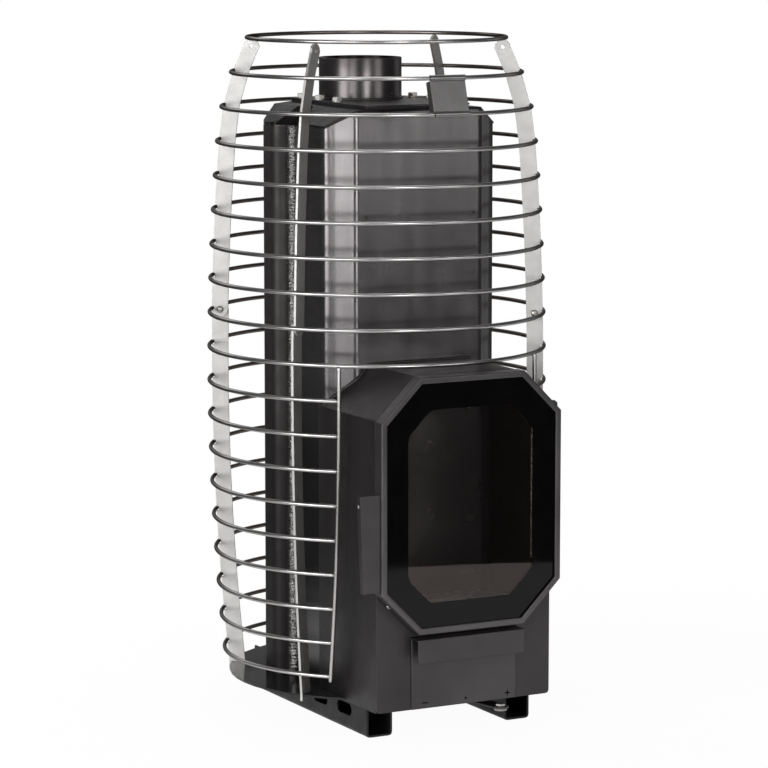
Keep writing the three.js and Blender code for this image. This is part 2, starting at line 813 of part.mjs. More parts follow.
// Ash drawer
function ashDrawer() {
  const front = -(frontPlateY + drawerProud);
  const panel = box(-drawerHalf, drawerHalf, front, front + drawerGauge, baseZ, drawerTop);
  const half = drawerHalf + lipOver;
  const ledge = box(-half, half, -doorFront, front + drawerProud / 2, drawerTop - drawerGauge, drawerTop);
  const skirtEdge = roundedPath([[half, drawerTop], [half, drawerTop - lipHeight], [0, drawerTop - lipHeight]],
    lipCorner);
  const skirt = alongY(outline([...skirtEdge.slice(0, -1), ...mirrored(skirtEdge.slice(0, -1))].reverse()),
    -doorFront, -doorFront + drawerGauge);
  const tray = box(-trayHalf, trayHalf, front + drawerGauge / 2, trayBack, trayZ, trayZ + trayHeight);
  const hollow = box(-trayHalf + drawerGauge, trayHalf - drawerGauge, front + drawerGauge, trayBack - drawerGauge,
    trayZ + drawerGauge, trayZ + trayHeight + 1);
  return join(panel, ledge, skirt, cut(tray, hollow));
}

// Air lever
function airPivot() {
  const headTop = leverZ - seat;
  return join(
    rod(0, leverPivotY, pivotRadius, headTop - 1, leverTop),
    rod(0, leverPivotY, pivotHead, headTop - pivotHeadThick, headTop),
  );
}

// Turns a piece drawn with the pivot at the origin to where the lever rests
function onLever(geometry) {
  return geometry.rotateZ(THREE.MathUtils.degToRad(leverRest)).translate(0, leverPivotY, 0);
}

// Fan over the air slots behind the pivot, and a cranked arm to the front
function airLever() {
  const half = leverWidth / 2;
  const rim = [-2, -1, 0, 1, 2].map((i) => {
    const turn = THREE.MathUtils.degToRad((fanTurn * i) / 2);
    return [fanRadius * Math.sin(turn), fanRadius * Math.cos(turn)];
  });
  const bar = join(
    riseZ(outline([[0, 0], ...rim.reverse()]), leverZ, leverTop),
    rod(0, 0, half, leverZ, leverTop),
    box(-half, half, -leverCrank, 0, leverZ, leverTop),
    box(-half, half, -leverCrank, leverThick - leverCrank, armZ, leverTop),
    box(-half, half, -leverReach, leverThick - leverCrank, armZ, armZ + leverThick),
    rod(0, -leverReach, half, armZ, armZ + leverThick),
  );
  return onLever(cut(bar, rod(0, 0, pivotRadius + seat, armZ, baseZ),
    rod(0, -leverReach, knobRadius + seat, armZ - 1, leverZ, 8)));
}

function airKnob() {
  const headTop = armZ - seat;
  const nutZ = armZ + leverThick + seat;
  return onLever(join(
    rod(0, -leverReach, knobRadius, headTop - 1, nutZ + 1, 8),
    rod(0, -leverReach, knobHead, headTop - knobHeadThick, headTop, 16),
    rod(0, -leverReach, boltAcross / Math.sqrt(3), nutZ, nutZ + knobHeadThick, 6),
  ));
}

// Assembly: the cage axis lies axisY behind the middle of the depth
const stove = new THREE.Group();
stove.position.y = axisY;

function add(name, geometry, material) {
  const mesh = new THREE.Mesh(geometry, material());
  mesh.name = name;
  stove.add(mesh);
}

for (let i = 0; i < ringCount; i += 1) {
  const name = `cage_ring_${String(i + 1).padStart(2, '0')}`;
  add(name, i < fullRings ? wireRing(i) : openRing(i), stainless);
}
const stripNames = ['front_left', 'front_right', 'rear_left', 'rear_right'];
stripTurns.forEach((angle, i) => {
  add(`strip_upper_${stripNames[i]}`, upperStrip(angle), stainless);
  add(`strip_lower_${stripNames[i]}`, lowerStrip(angle), stainless);
});
add('cutout_rod_left', cutoutRod(-1), stainless);
add('cutout_rod_right', cutoutRod(1), stainless);
add('badge_plate', badgePlate(), stainless);

add('foot_rail_left', footRail(-1), heatPaint);
add('foot_rail_right', footRail(1), heatPaint);
add('base_plate', basePlate(), glossPaint);
add('front_shell', frontShell(), greyPaint);
add('rear_shell', rearShell(), heatPaint);
add('top_plate', topPlate(), heatPaint);
add('flue_cover_gasket', fluePlate(gasketInset, roofZ + seat, roofZ + seat + gasketThick), fibre);
add('flue_cover', fluePlate(0, coverBottom, coverTop), heatPaint);
boltPlaces().forEach((place, i) => add(`flue_cover_bolt_${i + 1}`, coverBolt(place), zinc));
add('flue_collar', flueCollar(), heatPaint);
add('baffle_plate', bafflePlate(), castIron);
add('firebox_floor', fireboxFloor(), heatPaint);
add('fire_grate', fireGrate(), castIron);
add('fire_neck', fireNeck(), heatPaint);
add('front_plate', frontPlate(), greyPaint);
add('air_pivot', airPivot(), zinc);

add('door_frame', doorFrame(), greyPaint);
add('door_glass', doorGlass(), darkGlass);
add('glass_gasket', glassGasket(), fibre);
add('glass_retainer', glassRetainer(), heatPaint);
add('door_rope', doorRope(), fibre);
add('door_handle', doorHandle(), greyPaint);

add('ash_drawer', ashDrawer(), greyPaint);
add('air_lever', airLever(), heatPaint);
add('air_knob', airKnob(), zinc);

export default stove;
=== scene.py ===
"""Looks of a wood-burning sauna stove that stands in a barrel-shaped wire stone cage."""

import math

import bmesh
import bpy
import numpy as np
from bpy.props import FloatProperty, FloatVectorProperty, IntProperty, PointerProperty
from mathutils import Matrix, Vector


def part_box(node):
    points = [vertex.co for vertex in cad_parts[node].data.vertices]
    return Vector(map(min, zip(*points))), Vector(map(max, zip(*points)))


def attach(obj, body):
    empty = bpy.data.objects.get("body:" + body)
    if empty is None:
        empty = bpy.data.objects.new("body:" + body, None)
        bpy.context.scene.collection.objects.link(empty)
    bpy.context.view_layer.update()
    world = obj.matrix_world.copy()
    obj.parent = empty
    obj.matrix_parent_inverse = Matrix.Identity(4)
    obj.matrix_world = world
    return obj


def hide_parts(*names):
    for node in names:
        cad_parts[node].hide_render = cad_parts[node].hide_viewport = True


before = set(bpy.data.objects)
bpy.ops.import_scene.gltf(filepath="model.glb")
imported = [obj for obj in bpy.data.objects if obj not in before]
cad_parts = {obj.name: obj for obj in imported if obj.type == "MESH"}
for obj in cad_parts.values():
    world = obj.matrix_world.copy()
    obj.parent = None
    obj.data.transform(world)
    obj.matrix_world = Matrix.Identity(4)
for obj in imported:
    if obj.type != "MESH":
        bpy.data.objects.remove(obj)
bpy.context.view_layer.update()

bl_info = {
    "name": "Sauna stove looks",
    "version": (1, 0, 0),
    "blender": (4, 5, 0),
    "location": "View3D > Sidebar > Stove",
    "description": "Builds the visible surfaces of a sauna stove around its solid model",
    "category": "Object",
}

MM = 0.001
AXIS_Y = float(sum(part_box("cage_ring_10")[i][1] for i in (0, 1)) / 2)
RING_COUNT = sum(name.startswith("cage_ring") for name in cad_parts)
SIDES = ((-1, "left"), (1, "right"))
STRIP_ANGLES = {"front_left": -56, "front_right": 56, "rear_left": -124, "rear_right": 124}
DOOR_CORNER = 60 * MM
# Nodes that keep the frame's own plain material
KEPT_PLAIN = ("fire_grate", "baffle_plate")
WIRE_SIDES = 14
# Share of the radius at which the middle of a turned end stays open before its cap
TIP = 0.02
X_AXIS, Y_AXIS, Z_AXIS = (1, 0, 0), (0, 1, 0), (0, 0, 1)

# Studio: the backdrop's direction and soft edge, and the room's strength in reflections and as light
BACKDROP = (0.36, 0.68, 0.64)
BACKDROP_EDGE = (0.87, 0.98)
DARK_ROOM = 0.06
ROOM_LIGHT = 0.30
FLOOR_RADIUS = 1.17
FLOOR_MIDDLE = (0.30, -0.25, 0)
LAMP_TARGET = 0.7

# Camera, found by laying the solids over the photograph: its width and focal length are in pixels
PHOTO_WIDTH = 768
FOCAL_LENGTH = 3397
SENSOR = 36
CAMERA_TURN, CAMERA_TILT = 28, 8.04
CAMERA_DISTANCE, CAMERA_OFFSET, CAMERA_HEIGHT = 4.9565, 0.01095, 1.171


def length(name, description, default):
    """A length in metres with its label and tooltip."""
    return FloatProperty(name=name, description=description, default=default, unit="LENGTH", precision=4)


def colour(name, description, default):
    """A linear colour with its label and tooltip."""
    return FloatVectorProperty(
        name=name, description=description, default=default, subtype="COLOR", size=3, min=0, max=1)


class StoveSizes(bpy.types.PropertyGroup):
    """Sizes of the cage, the door's window and the long welds."""

    ring_pitch: length("Ring pitch", "Height from one cage ring to the next", 0.050)
    lowest_ring: length("Lowest ring", "Height of the lowest ring's centre", 0.080)
    wire: length("Wire", "Diameter of the cage wire", 0.006)
    belly_radius: length("Belly radius", "Largest radius of the barrel", 0.246)
    belly_height: length("Belly height", "Height of the widest place", 0.492)
    belly_arc: length("Belly arc", "Radius of the long side arc", 4.3)
    shoulder_height: length("Shoulder height", "Height at which the barrel starts to close", 0.838)
    shoulder_arc: length("Shoulder arc", "Radius of the shoulder arc", 0.345)
    cutout_half: length("Cut-out half width", "Distance of the cut-out rods from the middle", 0.159)
    rod_tail: length("Rod tail", "How far the cut-out rods reach below the lowest ring", 0.008)
    full_rings: IntProperty(
        name="Full rings", description="Rings that run all the way round", default=10, min=1)
    window_half: length("Window half width", "Half width of the clear window", 0.1005)
    window_low: length("Window low edge", "Height of the window's low edge", 0.200)
    window_high: length("Window high edge", "Height of the window's high edge", 0.474)
    window_corner: length("Window corner", "Length of the window's cut corners", 0.036)
    bead: length("Weld bead", "Half width of the long corner weld", 0.0078)


class StoveColours(bpy.types.PropertyGroup):
    """Colours of the paints and metals."""

    body: colour("Body paint", "Satin heat-proof paint of the stove body", (0.058, 0.0530, 0.0530))
    panel: colour("Front panel", "Lighter satin steel of the front panel", (0.122, 0.1150, 0.1165))
    door: colour("Door paint", "Paint of the door frame, the handle and the drawer", (0.063, 0.0590, 0.0598))
    gloss: colour("Base paint", "Glossy paint of the base plate", (0.012, 0.012, 0.0125))
    wire: colour("Cage wire", "Satin steel of the rings and rods", (0.468, 0.458, 0.454))
    strip: colour("Cage strips", "Bright steel of the flat strips", (0.46, 0.455, 0.445))
    zinc: colour("Zinc", "Plated bolts and screws", (0.46, 0.455, 0.445))
    weld: colour("Weld", "Bare weld metal", (0.17, 0.166, 0.162))
    fibre: colour("Fibre", "Woven seals and gaskets", (0.40, 0.38, 0.35))
    ink: colour("Glass border", "Black print around the window", (0.0012, 0.0012, 0.0014))
    mark: colour("Marks", "Plain marks of the air control", (0.003, 0.003, 0.003))
    floor: colour("Floor", "Studio floor", (0.90, 0.90, 0.90))


def sizes():
    """The scene's sizes."""
    return bpy.context.scene.stove_sizes


def colours():
    """The scene's colours."""
    return bpy.context.scene.stove_colours


# Surfaces


def barrel_radius(z):
    """Radius at heights z: a long arc about the belly, and above the shoulder a tighter arc tangent to it."""
    s = sizes()
    z = np.asarray(z, float)
    arc_middle = s.belly_radius - s.belly_arc
    belly = arc_middle + np.sqrt(s.belly_arc**2 - (z - s.belly_height) ** 2)
    lean = math.asin((s.shoulder_height - s.belly_height) / s.belly_arc)
    at_shoulder = arc_middle + s.belly_arc * math.cos(lean)
    centre_r = at_shoulder - s.shoulder_arc * math.cos(lean)
    centre_z = s.shoulder_height - s.shoulder_arc * math.sin(lean)
    rise = np.clip(s.shoulder_arc**2 - (z - centre_z) ** 2, 0, None)
    return np.where(z <= s.shoulder_height, belly, centre_r + np.sqrt(rise))


def ring_height(index):
    """Height of ring index, counted from the top."""
    return sizes().lowest_ring + (RING_COUNT - 1 - index) * sizes().ring_pitch


def add(name, data):
    """A new object in the scene."""
    made = bpy.data.objects.new(name, data)
    bpy.context.scene.collection.objects.link(made)
    return made


def box_of(node):
    """Low and high corner of a CAD node's box, as arrays."""
    return (np.array(corner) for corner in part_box(node))


def grid_mesh(name, points, close_rows=False, caps=False):
    """Quads on a grid of points whose rows are loops. Where asked, the last row joins the first, or both are
    capped."""
    rows, columns = points.shape[:2]
    i = np.arange(rows if close_rows else rows - 1)
    i, j = np.meshgrid(i, np.arange(columns), indexing="ij")
    k, m = (i + 1) % rows, (j + 1) % columns
    quads = np.stack([i * columns + j, k * columns + j, k * columns + m, i * columns + m], -1)
    faces = quads.reshape(-1, 4).tolist()
    if caps:
        faces += [list(range(columns)), list(range((rows - 1) * columns, rows * columns))]
    mesh = bpy.data.meshes.new(name)
    mesh.from_pydata(points.reshape(-1, 3).tolist(), [], faces)
    return mesh


def surface(name, points, material, body, close_rows=False, caps=False, replaces=(), smooth=True):
    """A piece from a grid of points, with its faces turned outwards, that rides on a body."""
    mesh = grid_mesh(name, points, close_rows, caps)
    work = bmesh.new()
    work.from_mesh(mesh)
    bmesh.ops.remove_doubles(work, verts=work.verts, dist=1e-6)
    bmesh.ops.recalc_face_normals(work, faces=work.faces)
    work.to_mesh(mesh)
    work.free()
    mesh.materials.append(material)
    mesh.polygons.foreach_set("use_smooth", np.full(len(mesh.polygons), smooth))
    piece = add(name, mesh)
    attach(piece, body)
    if replaces:
        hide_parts(*replaces)
    return piece


def crease(piece, degrees):
    """Keeps the edges sharp whose faces meet at more than an angle."""
    piece.data.set_sharp_from_angle(angle=math.radians(degrees))


def full_turn(steps):
    """Angles at even steps round a full turn."""
    return np.linspace(0, 2 * np.pi, steps, endpoint=False)


def unit(vectors):
    """Vectors scaled to length one."""
    return vectors / np.linalg.norm(vectors, axis=-1, keepdims=True)


def tube(path, radius, sides, up, closed=False):
    """Circles carried along a path: each point is the path plus radius times cosine and sine along two
    directions square to the path, the first square to up."""
    ahead = np.roll(path, -1, 0) - np.roll(path, 1, 0) if closed else np.gradient(path, axis=0)
    ahead = unit(ahead)
    side = unit(np.cross(np.broadcast_to(up, ahead.shape), ahead))
    top = np.cross(ahead, side)
    turn = full_turn(sides)
    radius = np.broadcast_to(radius, (len(path), sides))[..., None]
    ring = np.cos(turn)[None, :, None] * side[:, None] + np.sin(turn)[None, :, None] * top[:, None]
    return path[:, None] + radius * ring


def turned(profile, sides, centre, axis=Z_AXIS, shape=None):
    """A profile of radius and height pairs turned about an axis through centre. shape, if given, scales the
    radius by an array over profile rows and turn angles."""
    profile = np.asarray(profile, float)
    turn = full_turn(sides)
    radius = np.repeat(profile[:, :1], sides, 1)
    if shape is not None:
        radius = radius * shape
    axis = unit(np.asarray(axis, float))
    helper = np.array(X_AXIS if abs(axis[0]) < 0.8 else Y_AXIS, float)
    first = unit(np.cross(axis, helper))
    second = np.cross(axis, first)
    around = np.cos(turn)[:, None] * first + np.sin(turn)[:, None] * second
    return np.asarray(centre) + radius[..., None] * around[None] + profile[:, None, 1:2] * axis


def soft_steps(count, seed, span):
    """count random numbers from -1 to 1, smoothed over span neighbours."""
    values = np.random.default_rng(seed).uniform(-1, 1, count)
    kernel = np.hanning(span + 2)[1:-1]
    padded = np.concatenate([values[-span:], values, values[:span]])
    return np.convolve(padded, kernel / kernel.sum(), "same")[span:-span]


def mirrored(points):
    """Points on one side of the middle, followed by their mirror image in reversed order."""
    return np.array(points + [(-x, other) for x, other in reversed(points)])


def octagon(half, low, high, corner):
    """Corner points in X and Z of an upright rectangle with cut corners, in order."""
    right = [(half - corner, low), (half, low + corner), (half, high - corner), (half - corner, high)]
    return mirrored(right)


def door_corner(inset):
    """Length of the door outline's cut corners, for an outline set inwards."""
    return DOOR_CORNER - inset * (2 - math.sqrt(2))


def corner_arcs(here, before, after, reach, steps):
    """Parabolic arcs round corners, between points set at reach along the directions before and after."""
    t = np.linspace(0, 1, steps)[None, :, None]
    start, end = here + before * reach, here + after * reach
    return (1 - t) ** 2 * start[:, None] + 2 * t * (1 - t) * here[:, None] + t**2 * end[:, None]


def rounded_loop(points, radius, steps):
    """A closed outline whose corners are arcs between points set radius back along both sides."""
    before, after = (unit(np.roll(points, turn, 0) - points) for turn in (1, -1))
    return corner_arcs(points, before, after, radius, steps).reshape(-1, 2)


def bent(corners, radius, steps=10):
    """An open outline whose inner corners are arcs that reach radius over the tangent of half the corner's
    angle along both sides, with a point just before and after each arc."""
    here = corners[1:-1]
    before, after = unit(corners[:-2] - here), unit(corners[2:] - here)
    reach = radius / np.tan(np.arccos(np.sum(before * after, 1)) / 2)[:, None]
    guard = reach + 0.4 * MM
    arcs = corner_arcs(here, before, after, reach, steps)
    arcs = np.concatenate([(here + before * guard)[:, None], arcs, (here + after * guard)[:, None]], 1)
    return np.concatenate([corners[:1], arcs.reshape(-1, 2), corners[-1:]])


def line(start, end, step):
    """Points along a straight line at about one step from each other."""
    start, end = np.asarray(start, float), np.asarray(end, float)
    count = max(3, int(np.linalg.norm(end - start) / step))
    return start + (end - start) * np.linspace(0, 1, count)[:, None]


def upright(outline, *depths):
    """Points of an outline in X and Z, one row of them at each depth."""
    x, z = outline.T
    return np.stack([np.stack([x, np.full_like(x, y), z], -1) for y in depths])


# Materials


class Graph:
    """A node tree that is built up step by step."""

    def __init__(self, tree):
        self.tree = tree

    def node(self, kind, **values):
        """A shader node with its own settings and unlinked input values."""
        made = self.tree.nodes.new(f"ShaderNode{kind}")
        for key, value in values.items():
            if hasattr(made, key):
                setattr(made, key, value)
            else:
                made.inputs[key.replace("_", " ").title()].default_value = value
        return made

    def link(self, start, end):
        """Joins an output to an input."""
        self.tree.links.new(start, end)

    def math(self, operation, first, second):
        """Two values joined by an operation."""
        made = self.node("Math", operation=operation)
        self.link(first, made.inputs[0])
        self.link(second, made.inputs[1])
        return made.outputs[0]

    def span(self, value, low, high, start=0.3, end=0.7, **values):
        """A value mapped from start..end to low..high."""
        made = self.node("MapRange", from_min=start, from_max=end, to_min=low, to_max=high, **values)
        self.link(value, made.inputs["Value"])
        return made.outputs["Result"]

    def seen_rays(self):
        """One for camera, glossy and transmission rays, nought for the rest."""
        path = self.node("LightPath").outputs
        bounced = self.math("MAXIMUM", path["Is Camera Ray"], path["Is Glossy Ray"])
        return self.math("MAXIMUM", bounced, path["Is Transmission Ray"])

    def blend(self, share, first, second, end):
        """Links two shaders, mixed by a share, to the end of the tree."""
        mix = self.node("MixShader")
        self.link(share, mix.inputs["Fac"])
        self.link(first.outputs[0], mix.inputs[1])
        self.link(second.outputs[0], mix.inputs[2])
        self.link(mix.outputs[0], self.tree.nodes[end].inputs["Surface"])


class Finish(Graph):
    """A node material that reads object coordinates."""

    def __init__(self, name):
        self.material = bpy.data.materials.new(name)
        self.material.use_nodes = True
        super().__init__(self.material.node_tree)
        self.shader = self.tree.nodes["Principled BSDF"]
        self.coords = self.node("TexCoord").outputs["Object"]

    def along(self, axis):
        """Object coordinate along an axis."""
        parts = self.node("SeparateXYZ")
        self.link(self.coords, parts.inputs[0])
        return parts.outputs[axis]

    def stretch(self, scale):
        """Object coordinates scaled by three factors."""
        made = self.node("Mapping", scale=scale)
        self.link(self.coords, made.inputs["Vector"])
        return made.outputs["Vector"]

    def noise(self, scale, detail=3.0, roughness=0.55, vector=None):
        """Noise of that many waves a metre."""
        made = self.node("TexNoise", scale=scale, detail=detail, roughness=roughness)
        self.link(vector or self.coords, made.inputs["Vector"])
        return made.outputs["Fac"]

    def shade(self, value, dark, light, start=0.3, end=0.7):
        """Two colours mixed by a value."""
        ramp = self.node("ValToRGB")
        for stop, place, shade in zip(ramp.color_ramp.elements, (start, end), (dark, light)):
            stop.position = place
            stop.color = (*shade, 1)
        self.link(value, ramp.inputs["Fac"])
        self.link(ramp.outputs["Color"], self.shader.inputs["Base Color"])

    def paint_inner_shade(self, shade):
        """Painted shade: darkens and warms faces that look towards the upright axis of the stove."""
        place = self.node("NewGeometry")
        flat = self.node("VectorMath", operation="MULTIPLY_ADD")
        flat.inputs[1].default_value = (1, 1, 0)
        flat.inputs[2].default_value = (0, -AXIS_Y, 0)
        self.link(place.outputs["Position"], flat.inputs[0])
        facing = self.node("VectorMath", operation="DOT_PRODUCT")
        self.link(flat.outputs[0], facing.inputs[0])
        self.link(place.outputs["Normal"], facing.inputs[1])
        inner = self.span(facing.outputs["Value"], 1.0, 0.0, -0.012, -0.008)
        self.multiply(inner, (shade, shade * 0.93, shade * 0.88))

    def foot(self, shade, low, high):
        """Darkens the foot, which the lamps hardly reach: fully below low and not at all above high."""
        self.multiply(self.span(self.along("Z"), 1.0, 0.0, low, high), (shade, shade, shade))

    def multiply(self, share, shade):
        """Multiplies the base colour by a shade, as far as a share says."""
        mix = self.node("Mix", data_type="RGBA", blend_type="MULTIPLY")
        colour_now = self.shader.inputs["Base Color"].links[0].from_socket
        self.link(share, mix.inputs["Factor"])
        self.link(colour_now, mix.inputs["A"])
        mix.inputs["B"].default_value = (*shade, 1)
        self.link(mix.outputs["Result"], self.shader.inputs["Base Color"])

    def rough(self, value, low, high):
        """Roughness between two limits by a value."""
        self.link(self.span(value, low, high), self.shader.inputs["Roughness"])

    def relief(self, value, strength, depth, edge=0.0, under=None):
        """Bump from a value, over edges rounded by a small radius or over the normal of another bump."""
        made = self.node("Bump", strength=strength, distance=depth)
        self.link(value, made.inputs["Height"])
        if edge:
            under = self.node("Bevel", samples=4, radius=edge).outputs["Normal"]
        if under:
            self.link(under, made.inputs["Normal"])
        self.link(made.outputs["Normal"], self.shader.inputs["Normal"])

    def roll(self, start, end, depth):
        """Normal of a sheet that curves back by depth, as the square of the way from start to end."""
        away = self.node("Math", operation="ABSOLUTE")
        self.link(self.along("X"), away.inputs[0])
        share = self.span(away.outputs[0], 0.0, 1.0, start, end)
        made = self.node("Bump", strength=1.0, distance=1.0)
        square = self.math("MULTIPLY", share, share)
        self.link(self.span(square, 0.0, -depth, 0.0, 1.0), made.inputs["Height"])
        return made.outputs["Normal"]

    def set(self, **values):
        """Constant shader inputs."""
        for key, value in values.items():
            self.shader.inputs[key.replace("_", " ")].default_value = value


def tint(base, factor):
    """A colour made lighter or darker."""
    return tuple(min(1.0, c * factor) for c in base)


def once(dress):
    """Gives the material of a name, which a function dresses the first time, so that pieces share it."""
    def kept(name, *args, **kwargs):
        if name not in bpy.data.materials:
            dress(Finish(name), *args, **kwargs)
        return bpy.data.materials[name]
    return kept


@once
def satin_paint(f, base, rough, grain=0.08, specular=0.35, edge=0.0009, foot=1.0, fade=(0.30, 0.55),
                uneven=0.14):
    """Sprayed heat-proof paint: slow tone changes, fine grain and softened edges, with painted shade on faces
    towards the stove's axis and, where foot is below one, on the foot.
    """
    f.shade(f.noise(7, 4), tint(base, 0.82), tint(base, 1.2))
    # Painted shade on faces that look towards the stove's axis
    f.paint_inner_shade(0.16)
    # Painted shade on the foot, as deep as foot says, between the heights in fade
    f.foot(foot, *fade)
    f.rough(f.noise(38, 4), (1 - uneven) * rough, (1 + uneven) * rough)
    f.relief(f.noise(1500, 2), grain, 0.00025, edge=edge)
    f.set(Metallic=0.85, Specular_IOR_Level=specular)


@once
def rolled_panel(f, base, rough):
    """Rolled steel sheet under thin satin paint: long soft streaks down the sheet and fine grain, with
    painted shade on its lower part.
    """
    streak = f.noise(1, 5, vector=f.stretch((60, 60, 2.2)))
    f.shade(streak, tint(base, 0.88), tint(base, 1.14))
    # Painted shade: the sheet is darker below 0.38 m, fading out by 0.50 m
    f.foot(0.36, 0.38, 0.50)
    f.rough(f.noise(24, 3), rough - 0.03, rough + 0.04)
    f.relief(f.noise(1300, 2), 0.05, 0.0002, under=f.roll(0.1235, 0.1385, 0.00285))
    f.set(Metallic=0.9, Specular_IOR_Level=0.4)


@once
def gloss_paint(f, base):
    """Glossy enamel with faint waviness and dust."""
    f.shade(f.noise(90, 5), tint(base, 0.8), tint(base, 1.5))
    f.rough(f.noise(30, 4), 0.10, 0.19)
    f.relief(f.noise(60, 2), 0.03, 0.0006, edge=0.0008)
    f.set(Metallic=0.0, Specular_IOR_Level=0.25)


@once
def satin_steel(f, base, low, high, edge=0.0, rim=1.0, inside=1.0):
    """Satin stainless steel: cloudy tone, uneven roughness, and painted shade on faces that look towards the
    stove's axis, as far as inside says.
    """
    f.shade(f.noise(45, 5), tint(base, 0.92), tint(base, 1.08))
    # Painted shade on faces towards the stove's axis
    f.paint_inner_shade(inside)
    f.rough(f.noise(420, 4), low, high)
    f.relief(f.noise(2600, 2), 0.04, 0.0001, edge=edge)
    f.set(Metallic=1.0, Specular_Tint=(rim, rim, rim, 1))


@once
def weld_metal(f, base):
    """Bare weld: rough ripples, spatter and heat tint."""
    f.shade(f.noise(700, 3, 0.6), tint(base, 0.02), tint(base, 2.4), 0.45, 0.57)
    f.rough(f.noise(500, 3), 0.25, 0.5)
    f.relief(f.noise(520, 5, 0.7), 0.5, 0.0018)
    f.set(Metallic=1.0)


@once
def woven_fibre(f, base):
    """Knitted heat-proof fibre: crossed threads and loose fuzz."""
    weave = f.node("TexVoronoi", scale=420.0)
    f.link(f.coords, weave.inputs["Vector"])
    f.shade(weave.outputs["Distance"], tint(base, 1.15), tint(base, 0.6), 0.1, 0.8)
    f.rough(f.noise(300, 3), 0.85, 1.0)
    f.relief(weave.outputs["Distance"], 0.7, 0.0008)
    f.set(Metallic=0.0, Specular_IOR_Level=0.2)


@once
def clear_glass(f):
    """Clear heat-proof glass with a faint smoke film."""
    f.shade(f.noise(9, 4), (0.80, 0.77, 0.74), (0.93, 0.905, 0.88))
    f.rough(f.noise(14, 3), 0.0, 0.02)
    f.set(Metallic=0.0, IOR=1.40, Transmission_Weight=1.0, Specular_Tint=(0.86, 0.72, 0.70, 1))


@once
def printed_glass(f, base):
    """Black ceramic print seen through glass: deep and glossy."""
    f.shade(f.noise(30, 3), tint(base, 0.8), tint(base, 1.5))
    f.rough(f.noise(20, 2), 0.03, 0.07)
    f.set(Metallic=0.0, IOR=1.47, Specular_IOR_Level=0.2)


def body_paint():
    return satin_paint("body_paint", colours().body, 0.40)


def panel_steel():
    return rolled_panel("panel_steel", colours().panel, 0.24)


def door_paint():
    return satin_paint("door_paint", colours().door, 0.42)


def wire_steel():
    # inside=0.4 puts painted shade on the inner sides of the wire, darkening the back of the cage
    return satin_steel("wire_steel", colours().wire, 0.27, 0.33, rim=0.2, inside=0.4)


def strip_steel():
    return satin_steel("strip_steel", colours().strip, 0.42, 0.54, edge=0.0006)


def zinc_plate():
    return satin_steel("zinc_plate", colours().zinc, 0.36, 0.50, edge=0.0004)


def knob_steel():
    return satin_steel("knob_steel", tint(colours().zinc, 0.5), 0.3, 0.42)


def badge_steel():
    return satin_steel("badge_steel", tint(colours().wire, 0.5), 0.30, 0.40, edge=0.0006)


def bare_weld():
    return weld_metal("bare_weld", colours().weld)


def seal_fibre():
    return woven_fibre("seal_fibre", colours().fibre)


# Operators


class PieceOperator:
    """Shared settings of the operators."""

    bl_options = {"REGISTER", "UNDO"}


class STOVE_OT_rings(PieceOperator, bpy.types.Operator):
    """Round wire rings of the cage, the lower ones open at the front cut-out"""

    bl_idname = "stove.rings"
    bl_label = "Cage rings"

    def execute(self, context):
        s, steps = sizes(), 200
        set_back = 0.2 * s.wire
        for index in range(RING_COUNT):
            node = f"cage_ring_{index + 1:02d}"
            z = ring_height(index)
            radius = float(barrel_radius(z))
            full = index < s.full_rings
            end = 0 if full else math.asin(s.cutout_half / radius) + set_back / radius
            turn = np.linspace(end, 2 * np.pi - end, steps, endpoint=not full)
            path = [radius * np.sin(turn), AXIS_Y - radius * np.cos(turn), np.full_like(turn, z)]
            points = tube(np.stack(path, -1), s.wire / 2, WIRE_SIDES, Z_AXIS, closed=full)
            surface(node.replace("cage_", "wire_"), points, wire_steel(), "stove",
                    close_rows=full, caps=not full, replaces=(node,))
        return {"FINISHED"}


class STOVE_OT_rods(PieceOperator, bpy.types.Operator):
    """Bent rods that edge the front cut-out"""

    bl_idname = "stove.rods"
    bl_label = "Cut-out rods"

    def execute(self, context):
        s, steps = sizes(), 90
        top = ring_height(s.full_rings - 1)
        for side, name in SIDES:
            z = np.linspace(top, s.lowest_ring - s.rod_tail, steps)
            depth = np.sqrt(barrel_radius(z) ** 2 - s.cutout_half**2)
            path = np.stack([np.full_like(z, side * s.cutout_half), AXIS_Y - depth, z], -1)
            points = tube(path, s.wire / 2, WIRE_SIDES, X_AXIS)
            surface(f"wire_rod_{name}", points, wire_steel(), "stove", caps=True,
                    replaces=(f"cutout_rod_{name}",))
        return {"FINISHED"}


class STOVE_OT_badge(PieceOperator, bpy.types.Operator):
    """Rolled hems that hang the bare badge plate on two rings"""

    bl_idname = "stove.badge"
    bl_label = "Badge hems"

    def execute(self, context):
        low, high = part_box("badge_plate")
        upper, lower = (np.array([0, AXIS_Y - barrel_radius(z), z]) for z in map(ring_height, (1, 2)))
        down = unit(lower - upper)
        out = np.cross(down, X_AXIS)
        out *= -np.sign(out[1])
        inner, outer, steps, slices = 2.75 * MM, 4.5 * MM, 17, 5
        turn = np.linspace(0, np.pi, steps)[:, None]
        for name, centre, towards in (("upper", upper, down), ("lower", lower, -down)):
            arc = np.cos(turn) * towards + np.sin(turn) * out
            loop = centre + np.concatenate([outer * arc, inner * arc[::-1]])
            rows = np.stack([loop + np.array([x, 0, 0]) for x in np.linspace(low[0], high[0], slices)])
            hem = surface(f"badge_hem_{name}", rows, badge_steel(), "stove", caps=True)
            crease(hem, 45)
        return {"FINISHED"}


